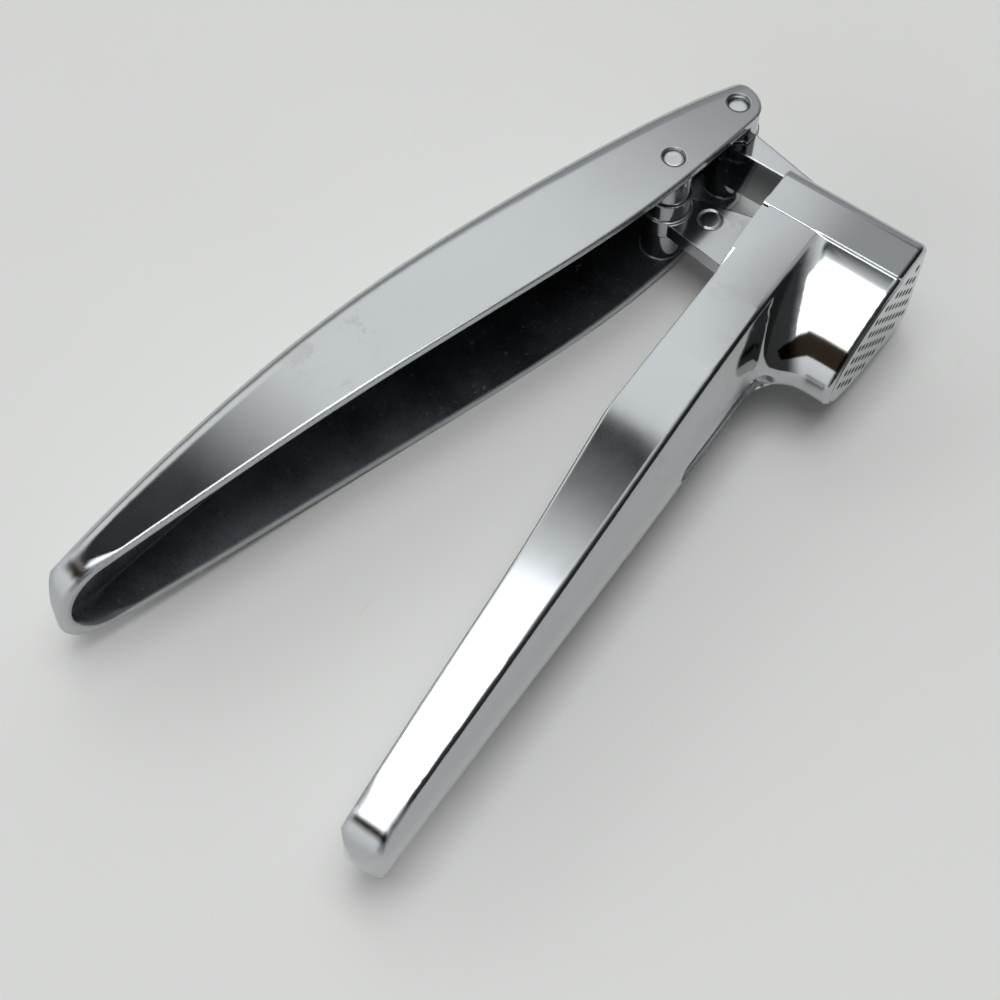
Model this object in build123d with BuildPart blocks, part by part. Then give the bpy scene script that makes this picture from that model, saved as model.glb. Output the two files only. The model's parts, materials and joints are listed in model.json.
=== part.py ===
from build123d import *
import os
from math import cos, radians, sin

# Garlic press, lying on its side with the handles partly open.
# X runs along the cup handle towards its tip, Y is the pressing direction (out through the
# perforated face) and Z is the direction of the two hinge pins.  Millimetres.
# The press is nearly mirror-symmetric about the plane z = MID.

# ---------------------------------------------------------------- driving dimensions
PIVOT_X = -83.475           # main pivot axis, measured from the middle of the resting press
PIVOT_Y = -1.531
MID = 17.035                # height of the middle plane above the resting plane
LEVER_ANGLE = -13.4         # direction of the lever's long axis from X, handles partly open

# cup
CUP_LEFT = 5.8             # outer face of the end wall on the pivot side
CUP_STEP = 17.5            # end of the flat band beside the end wall
CUP_RIGHT = 41.9           # furthest point of the rounded wall on the handle side
CUP_MOUTH = 17.2           # the mouth, where the plunger enters
CUP_FACE = 49.3            # outside of the perforated face
CUP_HALF = 13.5            # half thickness over the flat faces
CUP_BAND = 0.6             # the flat band stands proud of the rounded wall
CUP_WALL = 2.2
FACE_WALL = 1.9            # thickness of the perforated face
CUP_CORNER = 3.6           # rounding of the end wall's long corners
WALL_LEFT = 10.0           # left side of the rounded wall's section, inside the band
WALL_MIDDLE = 11.0         # middle of its elliptical profile
WALL_HALF = 13.2           # half thickness there
WALL_CORNER = 0.5
FACE_EDGE = 1.4            # rounding round the perforated face
SIEVE_HOLE = 0.85          # radius of one hole
SIEVE_PITCH = 4.0          # along a row; the rows are half of it apart and staggered
SIEVE_ROWS = 9
SIEVE_MARGIN = 0.6         # solid rim left round the holes

CLEAR = 2.0                # how far cutters run past a face
LONG_EDGE = 150.0          # edges longer than this run the whole length of a handle

# cup handle, as sections square to X: position, inner edge, outer edge, half thickness, bulge
HANDLE_SECTIONS = [
    (12.0, 17.0, 30.6, 13.5, 3.6),
    (40.0, 16.9, 30.3, 13.5, 4.6),
    (66.0, 17.6, 31.0, 13.3, 4.6),
    (96.0, 20.8, 32.2, 12.0, 3.8),
    (126.0, 23.6, 33.3, 10.6, 2.8),
    (154.0, 25.7, 34.2, 9.2, 2.0),
    (178.0, 27.6, 34.8, 7.8, 1.5),
]
HANDLE_INNER_BULGE = 0.8
HANDLE_EDGE = 1.4          # rounding of the handle's outer long edges
HANDLE_INNER_EDGE = 0.5    # and of its inner ones
HANDLE_END = 172.2
TIP_START = 164.6          # where the rounding of the tip starts
TIP_MIDDLE = 31.0
TIP_HALF_DEPTH = 6.2
TIP_HALF_THICK = 8.6
SCOOP = 9.0                # concave fillet between the handle and the cup
SCOOP_FROM = 31.0          # the edge it replaces lies between these two
SCOOP_TO = 36.0
RECESS_LENGTH = 30.0       # slim blind recess in the handle's outer side
RECESS_WIDTH = 5.0
RECESS_X = 59.0
RECESS_FLOOR = 34.6
RECESS_DEPTH = 6.0         # far enough to clear the bulged side

# lug that carries the main pivot
LUG_HALF = 6.5
LUG_RADIUS = 5.25
LUG_OUTLINE = [
    (5.0, 0.0), (5.0, 16.5), (7.6, 20.5), (7.6, 30.0), (6.8, 30.0), (2.7, 22.0), (1.0, 14.0), (-0.8, 5.2),
]

# pins and their fits
PIN_RADIUS = 2.25
RUNNING_GAP = 0.05         # radial clearance where a part turns on a pin
SIDE_GAP = 0.3             # clearance beside a turning part
PLUNGER_PIN_X = 20.6       # plunger pin in the lever's own axes
PLUNGER_PIN_Y = 2.2
PIN_DOME = 0.6

# lever, as sections square to its long axis: position, lips, spine, half width
LEVER_SECTIONS = [
    (-6.0, 4.4, -5.6, 13.6),
    (20.0, 7.3, -10.2, 15.6),
    (50.0, 7.8, -13.0, 16.9),
    (90.0, 4.7, -15.1, 16.6),
    (128.0, 1.9, -13.2, 14.7),
    (152.0, 0.4, -10.3, 12.8),
    (174.0, -0.9, -6.2, 10.6),
]
SPINE_CROWN = 1.2          # the spine is slightly domed across its width
LEVER_WALL = 1.9
LEVER_SPINE = 2.2
LEVER_EDGE = 3.6           # rounding between the walls and the spine
LEVER_END = 4.8            # rounding of the far end round the pivot
LEVER_END_DEPTH = 5.8      # half axis of that rounding across the lever
LEVER_END_MIDDLE = -0.8
LEVER_TIP = 172.5
LEVER_TIP_START = 160.0    # where the rounding of the tip starts
LEVER_TIP_LIP = -0.4
LEVER_TIP_RIM = 2.8        # thickness of the closed tip
TIP_SPINE = 8.8
TIP_HALF_WIDTH = 12.1
CHANNEL_OPEN = 20.0        # the hollow's cutter runs out past the lips
CHANNEL_START = 1.5
PIVOT_BOSS_ROOT = 13.0     # the bosses run into the walls here
PLUNGER_BOSS_ROOT = 14.5
FORK_LENGTH = 20.0
FORK_END = 8.0             # length of the slot that takes the lug
PIVOT_BOSS = 4.6
PLUNGER_BOSS = 4.4
BOSS_END = 6.8             # distance from the middle plane to the inner faces of the pivot bosses
PLUNGER_BOSS_END = 5.2     # the same for the bosses on the plunger pin

# plunger
PLUNGER_TILT = -1.65       # lean of the plunger in this pose
PLUNGER_REACH = 41.6       # pin axis to the pressing face
HEAD_CENTRE = 4.17         # head's middle from the pin, along X
HEAD_THICK = 4.0
HEAD_SIDE_GAP = 1.2        # between head and cup, along X
HEAD_FLAT_GAP = 0.5        # between head and cup, along Z
HUB_RADIUS = 5.3
HUB_STEP = 0.4             # the hub's upper half is a little slimmer
HEAD_MIDDLE = 25.0         # middle of the chamber along X
HUB_HALF = PLUNGER_BOSS_END - SIDE_GAP
WEB_TOP = -0.4
WEB_THICK = 3.8
WEB_OUTLINE = [
    (-3.6, 0.0), (-6.3, 8.5), (-8.4, 16.0), (-8.4, 39.0), (12.0, 39.0), (12.0, 30.0), (5.8, 17.0), (4.3, 4.0),
    (3.8, 0.0),
]

MARK_X = -2.4              # ring left by the ejector, on the web's upper side
MARK_Y = 9.4
MARK_RADIUS = 2.5
MARK_WIDTH = 0.35
MARK_DEPTH = 0.2

# pins
PIVOT_PIN_HALF = 12.9
PLUNGER_PIN_HALF = 15.2


def press_plane(z=0.0):
    """Plane parallel to the resting plane, with its origin on the main pivot axis."""
    return Plane(origin=(PIVOT_X, PIVOT_Y, MID + z), x_dir=(1, 0, 0), z_dir=(0, 0, 1))


def lever_plane(z=0.0):
    """The same, turned to the lever's long axis."""
    a = radians(LEVER_ANGLE)
    return Plane(origin=(PIVOT_X, PIVOT_Y, MID + z), x_dir=(cos(a), sin(a), 0), z_dir=(0, 0, 1))


def lever_width_plane():
    """Plane through the pivot and the lever's long axis, parallel to the pins."""
    a = radians(LEVER_ANGLE)
    return Plane(origin=(PIVOT_X, PIVOT_Y, MID), x_dir=(cos(a), sin(a), 0), z_dir=(-sin(a), cos(a), 0))


def across_plane(y):
    """Plane square to the pressing direction."""
    return Plane(origin=(PIVOT_X, PIVOT_Y + y, MID), x_dir=(1, 0, 0), z_dir=(0, 1, 0))


def section_plane(x):
    """Plane square to the cup handle."""
    return Plane(origin=(PIVOT_X + x, PIVOT_Y, MID), x_dir=(0, 1, 0), z_dir=(1, 0, 0))


def plunger_plane(z=0.0):
    """Plane on the plunger pin's axis, turned with the plunger."""
    pin = lever_plane(z).from_local_coords(Vector(PLUNGER_PIN_X, PLUNGER_PIN_Y, 0))
    a = radians(PLUNGER_TILT)
    return Plane(origin=pin, x_dir=(cos(a), sin(a), 0), z_dir=(0, 0, 1))


def lever_section_plane(x):
    """Plane square to the lever's long axis."""
    a = radians(LEVER_ANGLE)
    middle = lever_plane().from_local_coords(Vector(x, 0, 0))
    return Plane(origin=middle, x_dir=(-sin(a), cos(a), 0), z_dir=(cos(a), sin(a), 0))


def d_section(plane, left, step, right, half, corner):
    """A D lying on its side: rounded corners on the left, half an ellipse on the right."""
    with BuildSketch(plane) as section:
        with BuildLine():
            Line((step, half), (left + corner, half))
            RadiusArc((left + corner, half), (left, half - corner), -corner)
            Line((left, half - corner), (left, corner - half))
            RadiusArc((left, corner - half), (left + corner, -half), -corner)
            Line((left + corner, -half), (step, -half))
            EllipticalCenterArc((step, 0), right - step, half, start_angle=-90, arc_size=90)
            EllipticalCenterArc((step, 0), right - step, half, start_angle=0, arc_size=90)
        make_face()
    return section.sketch


def wall_section(y):
    """Outside of the cup's rounded wall. Its left side lies hidden inside the band."""
    return d_section(across_plane(y), WALL_LEFT, WALL_MIDDLE, CUP_RIGHT, WALL_HALF, WALL_CORNER)


def chamber_section(y):
    """Section of the chamber inside the cup."""
    half = CUP_HALF - CUP_BAND - CUP_WALL
    return d_section(across_plane(y), CUP_LEFT + CUP_WALL, CUP_STEP, CUP_RIGHT - CUP_WALL, half,
                     CUP_CORNER - CUP_WALL)


def sieve_holes():
    """Centres of the holes: staggered rows inside the rim."""
    points = []
    step_across = SIEVE_PITCH / 2
    inset = CUP_WALL + SIEVE_MARGIN + SIEVE_HOLE
    half = CUP_HALF - CUP_BAND - inset
    reach = CUP_RIGHT - CUP_STEP - inset
    corner = CUP_CORNER - inset
    for row in range(-(SIEVE_ROWS // 2), SIEVE_ROWS // 2 + 1):
        z = row * step_across
        x = CUP_LEFT + inset + (row % 2) * SIEVE_PITCH / 2
        while x < CUP_RIGHT:
            past_step = max(x - CUP_STEP, 0) / reach
            in_corner = x < CUP_LEFT + inset + corner and abs(z) > half - corner
            if past_step ** 2 + (z / half) ** 2 < 1 and not in_corner:
                points.append((x, z))
            x += SIEVE_PITCH
    return points


def plunger_across_plane(y):
    """Plane square to the plunger's travel, at a distance from its pin."""
    a = radians(PLUNGER_TILT)
    middle = plunger_plane().from_local_coords(Vector(0, y, 0))
    return Plane(origin=middle, x_dir=(cos(a), sin(a), 0), z_dir=(-sin(a), cos(a), 0))


def is_scoop_edge(edge):
    """The long edge where the cup's rounded wall meets the bar's outer side."""
    middle = edge.center() - press_plane().origin
    past_band = CUP_STEP < middle.X < CUP_RIGHT
    on_outer_side = SCOOP_FROM < middle.Y < SCOOP_TO
    return past_band and on_outer_side and edge.length > CUP_HALF


# ---------------------------------------------------------------- cup handle
with BuildPart() as cup_handle:
    # tapered bar with a bulged outer side
    for x, inner, outer, half, bulge in HANDLE_SECTIONS:
        with BuildSketch(section_plane(x)):
            with BuildLine():
                Line((inner, half), (outer, half))
                ThreePointArc((outer, half), (outer + bulge, 0), (outer, -half))
                Line((outer, -half), (inner, -half))
                ThreePointArc((inner, -half), (inner - HANDLE_INNER_BULGE, 0), (inner, half))
            make_face()
    loft()
    long_edges = cup_handle.edges().filter_by(lambda e: e.length > LONG_EDGE).sort_by(Axis.Y)
    fillet(long_edges[2:], HANDLE_EDGE)
    long_edges = cup_handle.edges().filter_by(lambda e: e.length > LONG_EDGE).sort_by(Axis.Y)
    fillet(long_edges[:2], HANDLE_INNER_EDGE)

    # rounded tip, as seen along Z and along Y
    with BuildSketch(press_plane(-CUP_HALF - CLEAR)):
        with Locations((TIP_START / 2, TIP_MIDDLE)):
            Rectangle(TIP_START, 4 * TIP_HALF_DEPTH)
        with Locations((TIP_START, TIP_MIDDLE)):
            Ellipse(HANDLE_END - TIP_START, TIP_HALF_DEPTH)
    extrude(amount=2 * (CUP_HALF + CLEAR), mode=Mode.INTERSECT)
    with BuildSketch(across_plane(0)):
        with Locations((TIP_START / 2, 0)):
            Rectangle(TIP_START, 2 * (CUP_HALF + CLEAR))
        with Locations((TIP_START, 0)):
            Ellipse(HANDLE_END - TIP_START, TIP_HALF_THICK)
    extrude(amount=CUP_FACE, mode=Mode.INTERSECT)

    # cup: rounded wall with the concave scoop where it meets the bar
    extrude(wall_section(CUP_MOUTH), amount=CUP_FACE - CUP_MOUTH, dir=(0, 1, 0))
    corner = cup_handle.edges().filter_by(lambda e: is_scoop_edge(e))
    fillet(corner, SCOOP)

    # cup: flat band and end wall
    with BuildSketch(across_plane(CUP_MOUTH)):
        with Locations(((CUP_LEFT + CUP_STEP) / 2, 0)):
            band = Rectangle(CUP_STEP - CUP_LEFT, 2 * CUP_HALF)
        fillet(band.vertices().group_by(Axis.X)[0], CUP_CORNER)
    extrude(amount=CUP_FACE - CUP_MOUTH)

    face_rim = cup_handle.faces().sort_by(Axis.Y)[-1].edges()
    fillet(face_rim, FACE_EDGE)

    # chamber, open at the mouth and closed by the perforated face
    extrude(chamber_section(CUP_MOUTH - CLEAR), amount=CUP_FACE - FACE_WALL - CUP_MOUTH + CLEAR,
            dir=(0, 1, 0), mode=Mode.SUBTRACT)

    # staggered holes through the face
    with BuildSketch(across_plane(CUP_FACE - FACE_WALL - CLEAR)):
        with Locations(*sieve_holes()):
            Circle(SIEVE_HOLE)
    extrude(amount=FACE_WALL + 2 * CLEAR, mode=Mode.SUBTRACT)

    # slim blind recess in the outer side of the bar
    with BuildSketch(across_plane(RECESS_FLOOR)):
        with Locations((RECESS_X, 0)):
            SlotOverall(RECESS_LENGTH, RECESS_WIDTH)
    extrude(amount=RECESS_DEPTH, mode=Mode.SUBTRACT)

    # lug out to the main pivot
    with BuildSketch(press_plane(-LUG_HALF)):
        Circle(LUG_RADIUS)
        with BuildLine():
            Polyline(*LUG_OUTLINE, close=True)
        make_face()
    extrude(amount=2 * LUG_HALF)
    with BuildSketch(press_plane(-LUG_HALF)):
        Circle(PIN_RADIUS + RUNNING_GAP)
    extrude(amount=2 * LUG_HALF, mode=Mode.SUBTRACT)

    # the bar and the flat band share their two flat sides
    with BuildSketch(press_plane(-CUP_HALF)):
        Rectangle(3 * HANDLE_END, 3 * HANDLE_END)
    extrude(amount=2 * CUP_HALF, mode=Mode.INTERSECT)

# ---------------------------------------------------------------- lever handle
with BuildPart() as channel:
    # hollow of the lever, open towards the cup handle
    for x, lip, spine, half in LEVER_SECTIONS:
        inner_half = half - LEVER_WALL
        with BuildSketch(lever_section_plane(x)):
            with Locations(((spine + LEVER_SPINE + CHANNEL_OPEN) / 2, 0)):
                Rectangle(CHANNEL_OPEN - spine - LEVER_SPINE, 2 * inner_half)
    loft()
    with BuildSketch(lever_plane(-MID)):
        with Locations(((CHANNEL_START + LEVER_TIP_START) / 2, 0)):
            Rectangle(LEVER_TIP_START - CHANNEL_START, 3 * CHANNEL_OPEN)
        with Locations((LEVER_TIP_START, LEVER_TIP_LIP)):
            Ellipse(LEVER_TIP - LEVER_TIP_START - LEVER_TIP_RIM, TIP_SPINE - LEVER_SPINE)
        with Locations((LEVER_TIP_START, CHANNEL_OPEN)):
            Rectangle(2 * (LEVER_TIP - LEVER_TIP_START - LEVER_TIP_RIM), 2 * (CHANNEL_OPEN - LEVER_TIP_LIP))
    extrude(amount=2 * MID, mode=Mode.INTERSECT)
    with BuildSketch(lever_width_plane()):
        with Locations((LEVER_TIP_START / 2, 0)):
            Rectangle(LEVER_TIP_START, 2 * MID)
        with Locations((LEVER_TIP_START, 0)):
            Ellipse(LEVER_TIP - LEVER_TIP_START - LEVER_TIP_RIM, TIP_HALF_WIDTH - LEVER_WALL)
    extrude(amount=3 * CHANNEL_OPEN, both=True, mode=Mode.INTERSECT)

with BuildPart() as lever_handle:
    for x, lip, spine, half in LEVER_SECTIONS:
        with BuildSketch(lever_section_plane(x)):
            with BuildLine():
                Line((lip, half), (spine + SPINE_CROWN, half))
                ThreePointArc((spine + SPINE_CROWN, half), (spine, 0), (spine + SPINE_CROWN, -half))
                Line((spine + SPINE_CROWN, -half), (lip, -half))
                Line((lip, -half), (lip, half))
            make_face()
    loft()
    across_lever = Axis(lever_plane().origin, lever_plane().y_dir)
    spine_edges = lever_handle.edges().filter_by(lambda e: e.length > LONG_EDGE).sort_by(across_lever)[:2]
    fillet(spine_edges, LEVER_EDGE)

    # far end rounded round the pivot, and the tip rounded both ways
    with BuildSketch(lever_plane(-MID - CLEAR)):
        with Locations((0, LEVER_END_MIDDLE)):
            Ellipse(LEVER_END, LEVER_END_DEPTH)
        with Locations((LEVER_TIP_START / 2, 0)):
            Rectangle(LEVER_TIP_START, 3 * CHANNEL_OPEN)
        with Locations((LEVER_TIP_START, LEVER_TIP_LIP)):
            Ellipse(LEVER_TIP - LEVER_TIP_START, TIP_SPINE)
    extrude(amount=2 * (MID + CLEAR), mode=Mode.INTERSECT)
    with BuildSketch(lever_width_plane()):
        with Locations((LEVER_TIP_START / 2 - LEVER_END, 0)):
            Rectangle(LEVER_TIP_START + 2 * LEVER_END, 2 * (MID + CLEAR))
        with Locations((LEVER_TIP_START, 0)):
            Ellipse(LEVER_TIP - LEVER_TIP_START, TIP_HALF_WIDTH)
    extrude(amount=3 * CHANNEL_OPEN, both=True, mode=Mode.INTERSECT)

    add(channel.part, mode=Mode.SUBTRACT)

    # bosses that stand in from both walls round the two pins
    for side in (1, -1):
        with BuildSketch(lever_plane(side * BOSS_END)):
            Circle(PIVOT_BOSS)
        extrude(amount=side * (PIVOT_BOSS_ROOT - BOSS_END))
        with BuildSketch(lever_plane(side * PLUNGER_BOSS_END)):
            with Locations((PLUNGER_PIN_X, PLUNGER_PIN_Y)):
                Circle(PLUNGER_BOSS)
        extrude(amount=side * (PLUNGER_BOSS_ROOT - PLUNGER_BOSS_END))

    # slot for the lug
    with BuildSketch(lever_plane(-BOSS_END)):
        with Locations((FORK_END - FORK_LENGTH / 2, 0)):
            Rectangle(FORK_LENGTH, 3 * CHANNEL_OPEN)
    extrude(amount=2 * BOSS_END, mode=Mode.SUBTRACT)

    # pin holes through both walls
    with BuildSketch(lever_plane(-MID)):
        with Locations((0, 0), (PLUNGER_PIN_X, PLUNGER_PIN_Y)):
            Circle(PIN_RADIUS)
    extrude(amount=2 * MID, mode=Mode.SUBTRACT)


# ---------------------------------------------------------------- plunger
with BuildPart() as plunger:
    # pressing head
    head_left = CUP_LEFT + CUP_WALL + HEAD_SIDE_GAP - HEAD_MIDDLE + HEAD_CENTRE
    head_right = CUP_RIGHT - CUP_WALL - HEAD_SIDE_GAP - HEAD_MIDDLE + HEAD_CENTRE
    head_step = CUP_STEP - HEAD_MIDDLE + HEAD_CENTRE
    head_half = CUP_HALF - CUP_BAND - CUP_WALL - HEAD_FLAT_GAP
    head_back = plunger_across_plane(PLUNGER_REACH - HEAD_THICK)
    head = d_section(head_back, head_left, head_step, head_right, head_half, CUP_CORNER - CUP_WALL)
    extrude(head, amount=HEAD_THICK, dir=head_back.z_dir)

    # web that widens from the hub to the head
    with BuildSketch(plunger_plane(WEB_TOP - WEB_THICK)):
        with BuildLine():
            Polyline(*WEB_OUTLINE, close=True)
        make_face()
    extrude(amount=WEB_THICK)

    # shallow round mark on the web
    with BuildSketch(plunger_plane(WEB_TOP - MARK_DEPTH)):
        with Locations((MARK_X, MARK_Y)):
            Circle(MARK_RADIUS)
            Circle(MARK_RADIUS - MARK_WIDTH, mode=Mode.SUBTRACT)
    extrude(amount=MARK_DEPTH + CLEAR, mode=Mode.SUBTRACT)

    # hub on the plunger pin
    with BuildSketch(plunger_plane(-HUB_HALF)):
        Circle(HUB_RADIUS)
    extrude(amount=HUB_HALF)
    with BuildSketch(plunger_plane(0)):
        Circle(HUB_RADIUS - HUB_STEP)
    extrude(amount=HUB_HALF)
    with BuildSketch(plunger_plane(-HUB_HALF)):
        Circle(PIN_RADIUS + RUNNING_GAP)
    extrude(amount=2 * HUB_HALF, mode=Mode.SUBTRACT)


# ---------------------------------------------------------------- pins
with BuildPart() as pivot_pin:
    with BuildSketch(lever_plane(-PIVOT_PIN_HALF)):
        Circle(PIN_RADIUS)
    extrude(amount=2 * PIVOT_PIN_HALF)
    fillet(pivot_pin.edges().filter_by(GeomType.CIRCLE), PIN_DOME)

with BuildPart() as plunger_pin:
    with BuildSketch(lever_plane(-PLUNGER_PIN_HALF)):
        with Locations((PLUNGER_PIN_X, PLUNGER_PIN_Y)):
            Circle(PIN_RADIUS)
    extrude(amount=2 * PLUNGER_PIN_HALF)
    fillet(plunger_pin.edges().filter_by(GeomType.CIRCLE), PIN_DOME)


# ---------------------------------------------------------------- output
os.makedirs("parts", exist_ok=True)
for name, piece in (
    ("cup_handle", cup_handle),
    ("lever_handle", lever_handle),
    ("plunger", plunger),
    ("pivot_pin", pivot_pin),
    ("plunger_pin", plunger_pin),
):
    piece.part.label = name
    export_step(piece.part, f"parts/{name}.step")
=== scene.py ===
import json
import math

import bpy
from mathutils import Matrix, Vector

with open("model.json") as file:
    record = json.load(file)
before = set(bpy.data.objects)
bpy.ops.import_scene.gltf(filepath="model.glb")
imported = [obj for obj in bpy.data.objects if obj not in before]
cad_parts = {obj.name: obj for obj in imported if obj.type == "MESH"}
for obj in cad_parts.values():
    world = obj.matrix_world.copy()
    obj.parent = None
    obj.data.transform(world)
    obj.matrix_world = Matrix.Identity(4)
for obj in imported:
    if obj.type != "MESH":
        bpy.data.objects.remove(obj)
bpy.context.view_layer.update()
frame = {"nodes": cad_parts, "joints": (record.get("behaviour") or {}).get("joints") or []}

# ---------------------------------------------------------------- places on the object
HINGE = Vector(frame["joints"][0]["pos_m"])
PLUNGER_PIN = Vector(frame["joints"][1]["pos_m"])
LEVER_TURN = math.radians(-13.4)       # direction of the lever's long axis from X

# painted shade: a dark ring in the gap round a pin's end
PIN_RING_RADIUS = 0.00235
PIN_RING_FADE = (0.0001, 0.0003)
PIN_END_FACING = (0.8, 0.9)

# the lever's hollow: its walls face the middle plane, its floor lies below the lips
HOLLOW_WALL_FACING = (-0.6, -0.4)
HOLLOW_FLOOR_FACING = (0.1, 0.3)
HOLLOW_FLOOR_TOP = (-0.0026, -0.0018)  # from the hinge, across the lever's long axis

# the chamber inside the cup, from the hinge: straight beside its wall, then round
CHAMBER_WALL = (0.0068, 0.0070)
CHAMBER_STEP = 0.0175
CHAMBER_REACH = 0.0233
CHAMBER_HALF = 0.0118
CHAMBER_OUTLINE = (0.98, 1.02)
CHAMBER_MOUTH = (0.0165, 0.0175)
CHAMBER_FACE = (0.04925, 0.04928)

# the handle's flat sides beside the cup's mouth, from the hinge
BESIDE_START = (0.0150, 0.0165)
BESIDE_END = (0.034, 0.040)
BESIDE_SCOOP = (0.0280, 0.0320)
BESIDE_HALF = (0.0106, 0.0110)
BESIDE_FACING = (0.3, 0.5)

# where along X, from the hinge, the handles' tips begin and the wipe marks lie
HANDLE_TIP = 0.158
LEVER_TIP = 0.152
HANDLE_STAINS = (0.03, 0.10)
LEVER_STAINS = (0.062, 0.115)
EVERYWHERE = (-1.0, 1.0)

# ---------------------------------------------------------------- plating
EDGE_SOFTNESS = 0.0005
LEVER_EDGE_SOFTNESS = 0.0008
TIP_SOFTNESS = 0.0022                  # added to the edge's softness past a tip's start
TIP_FADE = 0.006
BEVEL_SAMPLES = 6
EDGE_TURN = (0.90, 0.985)              # cosine between the softened and the flat normal

RIPPLE_SCALE = 22.0
RIPPLE_HEIGHT = 0.0006
BUMP_STRENGTH = 0.35

PLATING_WARMTH = -0.035
CLOUD_SHADE = 0.94                     # shades are shares of the base grey
CLOUD_WARMTH = -0.02
SCRATCH_SHADE = 0.70
SCRATCH_TINT = 0.22
SMUDGE_SHADE = 0.62
SMUDGE_WARMTH = 0.08
SMUDGE_TINT = 0.30
STAIN_FADE = 0.02
WIPE_ROUGHNESS = 0.03
MARK_ROUGHNESS = 0.04

# metal left as cast, with painted shade: darker deep inside than towards the open end
SHADED_CAST_DEEP = ((0.018, 0.020, 0.024, 1.0), (0.060, 0.065, 0.074, 1.0))
SHADED_CAST_OPEN = ((0.085, 0.093, 0.107, 1.0), (0.22, 0.235, 0.26, 1.0))
CAST_SHADE_DEPTH = (0.04, 0.13)              # from the hinge along X
# lighter colour of specks and streaks, and of edges as painted highlight and wear
CAST_BRIGHT = (0.40, 0.42, 0.44, 1.0)
CAST_SPECKS = 0.5
CAST_STREAKS = 0.4
CAST_ROUGHNESS = 0.20
CAST_GRAIN_ROUGHNESS = 0.18
CAST_GRAIN_HEIGHT = 0.00003
CAST_METAL_LOSS = 0.75

# painted shade in the gap round each pin's end
PIN_SHADE_DARKNESS = 0.85
PIN_SHADE_COLOUR = (0.05, 0.05, 0.05, 1.0)

# ---------------------------------------------------------------- floor
FLOOR_HALF_SIDE = 3.0
FLOOR_COLOURS = ((0.86, 0.855, 0.84, 1.0), (0.90, 0.90, 0.885, 1.0))
FLOOR_SPECK = (0.55, 0.55, 0.53, 1.0)
FLOOR_SPECK_TINT = 0.20
FLOOR_SCRATCH = (0.50, 0.49, 0.47, 1.0)
FLOOR_SCRATCH_TINT = 0.30
FLOOR_ROUGHNESS = (0.42, 0.5)
FLOOR_GRAIN_HEIGHT = 0.0001
FLOOR_BUMP_STRENGTH = 0.2

# ---------------------------------------------------------------- light
# Patches on a ceiling one unit up: along X and along Y, each as low, high, fade below, fade above.
LAMP = ((-0.285, 0.38, 0.04, 0.04), (-0.27, 0.24, 0.03, 0.12))
LINE = ((-0.430, -0.418, 0.015, 0.12), (-0.31, -0.10, 0.04, 0.10))
SHADE = ((-0.20, 0.30, 0.16, 0.20), (-0.80, -0.37, 0.20, 0.06))
CORNER = ((-1.5, -0.66, 0.2, 0.08), (-0.235, 0.5, 0.05, 0.3))
BROWN = ((0.46, 1.15, 0.05, 0.12), (-0.9, 1.6, 0.3, 0.4))
LAMP_LEVEL = 2.85
LINE_DARKNESS = 0.97
SHADE_DARKNESS = 0.97
CORNER_DARKNESS = 0.55
BROWN_DARKNESS = 0.96
ROOM_COLOUR = (0.98, 1.0, 1.0, 1.0)
BROWN_COLOUR = (1.0, 0.74, 0.50, 1.0)
LOWEST_HEIGHT = 0.02                   # keeps the ceiling's places finite at the horizon

# The room's level: brighter upwards, darker towards -X on the ceiling and towards +Y.
ROOM_UP = (0.0, 0.75)
ROOM_UP_LEVELS = (0.82, 1.02)
ROOM_X = (-1.15, -0.62)
ROOM_X_LEVELS = (0.42, 1.0)
ROOM_Y = (-0.10, 0.60)
ROOM_Y_LEVELS = (1.0, 0.05)

# ---------------------------------------------------------------- camera
CAMERA_SENSOR = 36.0                   # millimetres, as is the lens
CAMERA_LENS = 79.2
CAMERA_NEAR = 0.01
CAMERA_PLACE = Vector((0.267474, 0.118433, 0.370690))      # from the hinge
CAMERA_RIGHT = Vector((-0.57756, 0.81597, 0.02497))
CAMERA_UP = Vector((-0.71066, -0.51760, 0.47650))
CAMERA_BACK = Vector((0.40174, 0.25746, 0.87882))


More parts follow.
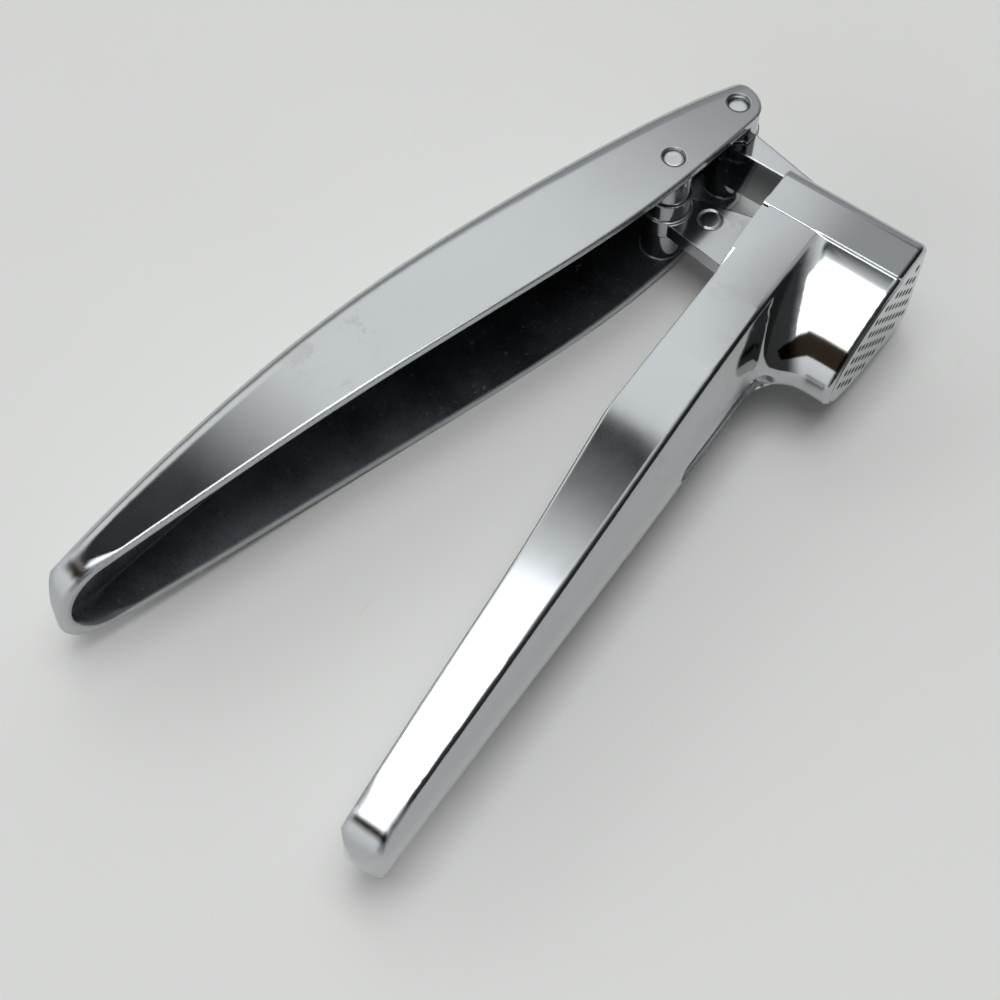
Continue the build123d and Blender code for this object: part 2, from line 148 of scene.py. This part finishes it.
# ---------------------------------------------------------------- node helpers
class Nodes:
    """A node tree being built: makes nodes and joins them."""

    def __init__(self, tree):
        self.tree = tree

    def node(self, kind, **settings):
        made = self.tree.nodes.new(kind)
        for key, value in settings.items():
            setattr(made, key, value)
        return made

    def link(self, source, target):
        self.tree.links.new(source, target)

    def put(self, socket, value):
        """Joins a socket to another one, or sets its value."""
        if hasattr(value, "is_linked"):
            self.link(value, socket)
        else:
            socket.default_value = value

    def math(self, operation, a, b=0.0):
        made = self.node("ShaderNodeMath", operation=operation)
        self.put(made.inputs[0], a)
        self.put(made.inputs[1], b)
        return made.outputs[0]

    def plus(self, a, b):
        return self.math("ADD", a, b)

    def minus(self, a, b):
        return self.math("SUBTRACT", a, b)

    def times(self, first, *others):
        for other in others:
            first = self.math("MULTIPLY", first, other)
        return first

    def largest(self, first, *others):
        for other in others:
            first = self.math("MAXIMUM", first, other)
        return first

    def unsigned(self, value):
        return self.math("ABSOLUTE", value)

    def squared(self, value):
        return self.math("POWER", value, 2.0)

    def change(self, value, between, levels):
        """Smooth change from the first level to the second, as value goes from low to high."""
        made = self.node("ShaderNodeMapRange", interpolation_type="SMOOTHSTEP")
        for socket, item in zip(made.inputs, (value, *between, *levels)):
            self.put(socket, item)
        return made.outputs[0]

    def rise(self, value, between):
        return self.change(value, between, (0.0, 1.0))

    def fall(self, value, between):
        return self.change(value, between, (1.0, 0.0))

    def mix(self, factor, a, b):
        made = self.node("ShaderNodeMix", data_type="RGBA")
        self.put(made.inputs[0], factor)
        self.put(made.inputs[6], a)
        self.put(made.inputs[7], b)
        return made.outputs[2]

    def apart(self, vector):
        made = self.node("ShaderNodeSeparateXYZ")
        self.link(vector, made.inputs[0])
        return made.outputs

    def noise(self, vector, scale, detail=3.0, roughness=0.5, stretch=None, turn=0.0):
        if stretch:
            mapping = self.node("ShaderNodeMapping")
            self.link(vector, mapping.inputs["Vector"])
            mapping.inputs["Scale"].default_value = stretch
            mapping.inputs["Rotation"].default_value = (0.0, 0.0, turn)
            vector = mapping.outputs[0]
        made = self.node("ShaderNodeTexNoise")
        self.link(vector, made.inputs["Vector"])
        made.inputs["Scale"].default_value = scale
        made.inputs["Detail"].default_value = detail
        made.inputs["Roughness"].default_value = roughness
        return made.outputs["Fac"]

    def bump(self, height, distance, strength, normal=None):
        made = self.node("ShaderNodeBump")
        self.link(height, made.inputs["Height"])
        made.inputs["Distance"].default_value = distance
        made.inputs["Strength"].default_value = strength
        if normal is not None:
            self.link(normal, made.inputs["Normal"])
        return made.outputs[0]


class Shader(Nodes):
    """A material, with the place and the direction of each point of the surface at hand."""

    def __init__(self, name):
        self.material = bpy.data.materials.new(name)
        self.material.use_nodes = True
        super().__init__(self.material.node_tree)
        self.bsdf = self.tree.nodes["Principled BSDF"]
        place = self.node("ShaderNodeTexCoord")
        self.where = place.outputs["Object"]
        x, y, z = self.apart(self.where)
        self.along = self.minus(x, HINGE.x)        # from the hinge
        self.across = self.minus(y, HINGE.y)
        self.height = self.minus(z, HINGE.z)
        self.facing = self.apart(place.outputs["Normal"])

    def texture(self, scale, **settings):
        """Noise over the surface."""
        return self.noise(self.where, scale, **settings)


def grey(value, warmth=0.0):
    return (value * (1 + warmth), value, value * (1 - warmth), 1.0)


def scratches(s, scale, turn, share):
    """Thin scratches: narrow bands of a stretched noise, kept in a share of the surface."""
    lines = s.texture(scale, detail=2.0, stretch=(1.0, 30.0, 30.0), turn=turn)
    band = s.fall(s.unsigned(s.minus(lines, 0.5)), (0.0, 0.010))
    kept = s.rise(s.texture(scale * 5, detail=2.0), (1.0 - share, 1.12 - share))
    return s.times(band, kept)


# ---------------------------------------------------------------- parts of a surface
def inside_lever(s):
    """1 on the walls and the floor of the lever's hollow, painted as cast metal darkened with painted
    shade.
    """
    inward = s.times(s.facing[2], s.math("SIGN", s.height))
    walls = s.fall(inward, HOLLOW_WALL_FACING)
    sine, cosine = math.sin(LEVER_TURN), math.cos(LEVER_TURN)
    below_lips = s.plus(s.times(s.along, -sine), s.times(s.across, cosine))
    turned = s.plus(s.times(s.facing[0], -sine), s.times(s.facing[1], cosine))
    floor_part = s.times(s.fall(below_lips, HOLLOW_FLOOR_TOP), s.rise(turned, HOLLOW_FLOOR_FACING))
    return s.largest(walls, floor_part)


def inside_cup(s):
    """1 in the chamber and in the holes of the perforated face, painted as cast metal darkened with
    painted shade.
    """
    past_step = s.largest(s.minus(s.along, CHAMBER_STEP), 0.0)
    along = s.squared(s.math("DIVIDE", past_step, CHAMBER_REACH))
    up = s.squared(s.math("DIVIDE", s.unsigned(s.height), CHAMBER_HALF))
    within = s.fall(s.plus(along, up), CHAMBER_OUTLINE)
    between = s.times(s.rise(s.across, CHAMBER_MOUTH), s.fall(s.across, CHAMBER_FACE))
    return s.times(within, s.rise(s.along, CHAMBER_WALL), between)


def beside_mouth(s):
    """1 where the handle's flat sides run into the cup's, next to the mouth."""
    near = s.times(s.rise(s.along, BESIDE_START), s.fall(s.along, BESIDE_END))
    outward = s.rise(s.unsigned(s.height), BESIDE_HALF)
    flat_side = s.fall(s.unsigned(s.facing[1]), BESIDE_FACING)
    return s.times(near, outward, flat_side, s.fall(s.across, BESIDE_SCOOP))


def shade_round_pins(s):
    """1 in a thin ring round each pin's end, darkened as painted shade in the gap."""
    pin_shade_rings = []
    for pin in (HINGE, PLUNGER_PIN):
        off_x = s.squared(s.minus(s.along, pin.x - HINGE.x))
        off_y = s.squared(s.minus(s.across, pin.y - HINGE.y))
        away = s.math("SQRT", s.plus(off_x, off_y))
        pin_shade_rings.append(s.fall(s.unsigned(s.minus(away, PIN_RING_RADIUS)), PIN_RING_FADE))
    return s.times(s.largest(*pin_shade_rings), s.rise(s.unsigned(s.facing[2]), PIN_END_FACING))


def on_edges(s, softened):
    """1 along edges and inner corners, where the softened normal leaves the flat one."""
    flat = s.node("ShaderNodeNewGeometry").outputs["Normal"]
    alike = s.node("ShaderNodeVectorMath", operation="DOT_PRODUCT")
    s.link(softened, alike.inputs[0])
    s.link(flat, alike.inputs[1])
    return s.fall(alike.outputs["Value"], EDGE_TURN)


# ---------------------------------------------------------------- chrome
def softened_edges(s, edge, tip):
    """The normal with its edges rounded, and rounded more past the start of a tip."""
    soft = s.node("ShaderNodeBevel", samples=BEVEL_SAMPLES)
    soft.inputs["Radius"].default_value = edge
    if tip:
        past_tip = s.rise(s.along, (tip, tip + TIP_FADE))
        s.link(s.plus(edge, s.times(past_tip, TIP_SOFTNESS)), soft.inputs["Radius"])
    return soft.outputs[0]


def flattened(s, normal, part):
    """The normal, turned straight outwards along Z on the given part."""
    side = s.node("ShaderNodeCombineXYZ")
    s.link(s.math("SIGN", s.height), side.inputs[2])
    mixed = s.node("ShaderNodeMix", data_type="VECTOR")
    s.link(part, mixed.inputs[0])
    s.link(normal, mixed.inputs[4])
    s.link(side.outputs[0], mixed.inputs[5])
    unit = s.node("ShaderNodeVectorMath", operation="NORMALIZE")
    s.link(mixed.outputs[1], unit.inputs[0])
    return unit.outputs[0]


def cast_colour_and_shade(s, softened, edge_glint_and_wear):
    """Cast metal darkened with painted shade, deepest inside, with stains, bright specks and streaks,
    and edges lightened as painted highlight and wear.
    """
    stain = s.rise(s.texture(60.0, detail=5.0, roughness=0.65), (0.3, 0.7))
    dark = s.mix(s.rise(s.along, CAST_SHADE_DEPTH), s.mix(stain, *SHADED_CAST_DEEP), s.mix(stain, *SHADED_CAST_OPEN))
    specks = s.rise(s.texture(700.0, detail=2.0, roughness=0.6), (0.66, 0.74))
    streaks = scratches(s, 40.0, -0.23, 0.45)
    # edges lightened as painted highlight and as wear
    edges = s.times(on_edges(s, softened), edge_glint_and_wear)
    bright = s.largest(s.times(specks, CAST_SPECKS), s.times(streaks, CAST_STREAKS), edges)
    return s.mix(bright, dark, CAST_BRIGHT)


def chrome(name, base, rough, satin, ripple, wear, edge=EDGE_SOFTNESS, tip=None,
           stained=EVERYWHERE, inside=None, edge_glint_and_wear=0.0, flat=None, pin_shade_rings=False):
    """Chrome plating over a casting: soft ripple, wipe marks, scattered scratches and a satin haze.

    edge is how far edges are softened, and tip is where along X they start to be softer still.
    stained is where along X the wipe marks lie.
    inside gives the part of the surface that was left as cast and darkened with painted shade, and
    edge_glint_and_wear how much its edges are lightened, as painted highlight and as wear.
    flat gives the part of the surface that is shaded as one flat side.
    pin_shade_rings paints shade in the gap round the ends of the pins.
    """
    s = Shader(name)
    haze = s.rise(s.texture(45.0, detail=4.0, roughness=0.6), (0.35, 0.75))
    wipe = s.texture(160.0, roughness=0.6, stretch=(1.0, 7.0, 1.0), turn=0.5)
    marks = s.largest(scratches(s, 60.0, 0.35, 0.36), scratches(s, 75.0, -1.1, 0.34))
    smudge = s.times(s.rise(s.texture(110.0, detail=5.0, roughness=0.68), (0.52, 0.60)),
                     s.rise(s.texture(35.0, detail=1.0), (0.46, 0.54)),
                     s.rise(s.along, (stained[0], stained[0] + STAIN_FADE)),
                     s.fall(s.along, (stained[1] - STAIN_FADE, stained[1])))

    cloud = s.rise(s.texture(28.0, detail=5.0, roughness=0.6), (0.3, 0.8))
    colour = s.mix(cloud, grey(base, PLATING_WARMTH), grey(base * CLOUD_SHADE, CLOUD_WARMTH))
    colour = s.mix(s.times(marks, SCRATCH_TINT * wear), colour, grey(base * SCRATCH_SHADE))
    colour = s.mix(s.times(smudge, SMUDGE_TINT * wear), colour, grey(base * SMUDGE_SHADE, SMUDGE_WARMTH))
    roughness = s.plus(rough, s.times(haze, satin))
    roughness = s.plus(roughness, s.times(wipe, WIPE_ROUGHNESS * wear))
    roughness = s.plus(roughness, s.times(s.largest(marks, smudge), MARK_ROUGHNESS * wear))

    softened = softened_edges(s, edge, tip)
    normal = flattened(s, softened, flat(s)) if flat else softened
    wave = s.texture(RIPPLE_SCALE, detail=1.0, roughness=0.4)
    normal = s.bump(wave, RIPPLE_HEIGHT * ripple, BUMP_STRENGTH, normal)

    if inside:
        # cast metal darkened with painted shade, deepest towards the hinge
        cast = inside(s)
        grain = s.texture(1500.0, detail=4.0, roughness=0.7)
        colour = s.mix(cast, colour, cast_colour_and_shade(s, softened, edge_glint_and_wear))
        dull = s.plus(CAST_ROUGHNESS, s.times(grain, CAST_GRAIN_ROUGHNESS))
        roughness = s.plus(s.times(roughness, s.minus(1.0, cast)), s.times(dull, cast))
        normal = s.bump(s.times(grain, cast), CAST_GRAIN_HEIGHT, BUMP_STRENGTH, normal)
        s.link(s.minus(1.0, s.times(cast, CAST_METAL_LOSS)), s.bsdf.inputs["Metallic"])
    else:
        s.bsdf.inputs["Metallic"].default_value = 1.0
    # painted shade in the gap round each pin's end
    if pin_shade_rings:
        colour = s.mix(s.times(shade_round_pins(s), PIN_SHADE_DARKNESS), colour, PIN_SHADE_COLOUR)

    s.link(colour, s.bsdf.inputs["Base Color"])
    s.link(roughness, s.bsdf.inputs["Roughness"])
    s.link(normal, s.bsdf.inputs["Normal"])
    return s.material


def paint(node, material):
    """All slots of the node take this material."""
    for slot in frame["nodes"][node].material_slots:
        slot.material = material


cup_plating = chrome("cup_handle_plating", base=0.57, rough=0.05, satin=0.03, ripple=1.6, wear=0.5,
                     tip=HANDLE_TIP, stained=HANDLE_STAINS, inside=inside_cup, flat=beside_mouth)
lever_plating = chrome("lever_plating", base=0.57, rough=0.07, satin=0.03, ripple=0.3, wear=1.0,
                       edge=LEVER_EDGE_SOFTNESS, tip=LEVER_TIP, stained=LEVER_STAINS,
                       inside=inside_lever, edge_glint_and_wear=0.8, pin_shade_rings=True)
plunger_plating = chrome("plunger_plating", base=0.52, rough=0.09, satin=0.06, ripple=1.6, wear=0.8)
pin_metal = chrome("pin_metal", base=0.72, rough=0.34, satin=0.10, ripple=1.5, wear=1.2)
paint("cup_handle", cup_plating)
paint("lever_handle", lever_plating)
paint("plunger", plunger_plating)
paint("pivot_pin", pin_metal)
paint("plunger_pin", pin_metal)


# ---------------------------------------------------------------- floor
def make_floor():
    """White sheet with faint clouds, specks and a few fine scratches."""
    side = FLOOR_HALF_SIDE
    corners = [(-side, -side, 0), (side, -side, 0), (side, side, 0), (-side, side, 0)]
    mesh = bpy.data.meshes.new("floor")
    mesh.from_pydata(corners, [], [(0, 1, 2, 3)])
    made = bpy.data.objects.new("floor", mesh)
    bpy.context.scene.collection.objects.link(made)
    s = Shader("floor_white")
    cloud = s.texture(6.0, detail=4.0, roughness=0.6)
    speck = s.rise(s.texture(700.0, detail=2.0, roughness=0.7), (0.68, 0.80))
    marks = s.largest(scratches(s, 7.0, 0.9, 0.33), scratches(s, 11.0, -0.4, 0.33))
    colour = s.mix(cloud, *FLOOR_COLOURS)
    colour = s.mix(s.times(speck, FLOOR_SPECK_TINT), colour, FLOOR_SPECK)
    colour = s.mix(s.times(marks, FLOOR_SCRATCH_TINT), colour, FLOOR_SCRATCH)
    grain = s.bump(s.texture(300.0), FLOOR_GRAIN_HEIGHT, FLOOR_BUMP_STRENGTH)
    s.link(colour, s.bsdf.inputs["Base Color"])
    s.link(s.change(cloud, (0.3, 0.7), FLOOR_ROUGHNESS), s.bsdf.inputs["Roughness"])
    s.link(grain, s.bsdf.inputs["Normal"])
    made.data.materials.append(s.material)


make_floor()


# ---------------------------------------------------------------- light
def make_world():
    """A grey room with a large soft lamp overhead and darker parts round it."""
    world = bpy.data.worlds.new("studio")
    bpy.context.scene.world = world
    world.use_nodes = True
    w = Nodes(world.node_tree)
    back = world.node_tree.nodes["Background"]
    east, north, up = w.apart(w.node("ShaderNodeTexCoord").outputs["Generated"])
    above_floor = w.largest(up, LOWEST_HEIGHT)
    ceiling_x = w.math("DIVIDE", east, above_floor)
    ceiling_y = w.math("DIVIDE", north, above_floor)

    def span(place, low, high, fade_below, fade_above):
        """1 between low and high, with soft edges outside them."""
        return w.times(w.rise(place, (low - fade_below, low)), w.fall(place, (high, high + fade_above)))

    def patch(along_x, along_y):
        """1 in a soft rectangle on the ceiling."""
        return w.times(span(ceiling_x, *along_x), span(ceiling_y, *along_y))

    brown = patch(*BROWN)
    room = w.times(w.change(up, ROOM_UP, ROOM_UP_LEVELS),
                   w.change(ceiling_x, ROOM_X, ROOM_X_LEVELS),
                   w.change(north, ROOM_Y, ROOM_Y_LEVELS))
    dark = w.largest(w.times(patch(*LINE), LINE_DARKNESS),
                     w.times(patch(*SHADE), SHADE_DARKNESS),
                     w.times(brown, BROWN_DARKNESS),
                     w.times(patch(*CORNER), CORNER_DARKNESS))
    level = w.plus(w.times(room, w.minus(1.0, dark)), w.times(patch(*LAMP), LAMP_LEVEL))
    w.link(level, back.inputs["Strength"])
    w.link(w.mix(brown, ROOM_COLOUR, BROWN_COLOUR), back.inputs["Color"])


make_world()
bpy.context.scene.view_settings.view_transform = "Standard"


# ---------------------------------------------------------------- camera
def make_camera():
    """Looks down on the press from beyond the cup's perforated face."""
    data = bpy.data.cameras.new("camera")
    camera = bpy.data.objects.new("camera", data)
    bpy.context.scene.collection.objects.link(camera)
    data.sensor_width = CAMERA_SENSOR
    data.lens = CAMERA_LENS
    data.clip_start = CAMERA_NEAR
    turn = Matrix((CAMERA_RIGHT, CAMERA_UP, CAMERA_BACK)).transposed()
    camera.matrix_world = Matrix.Translation(HINGE + CAMERA_PLACE) @ turn.to_4x4()
    bpy.context.scene.camera = camera


make_camera()
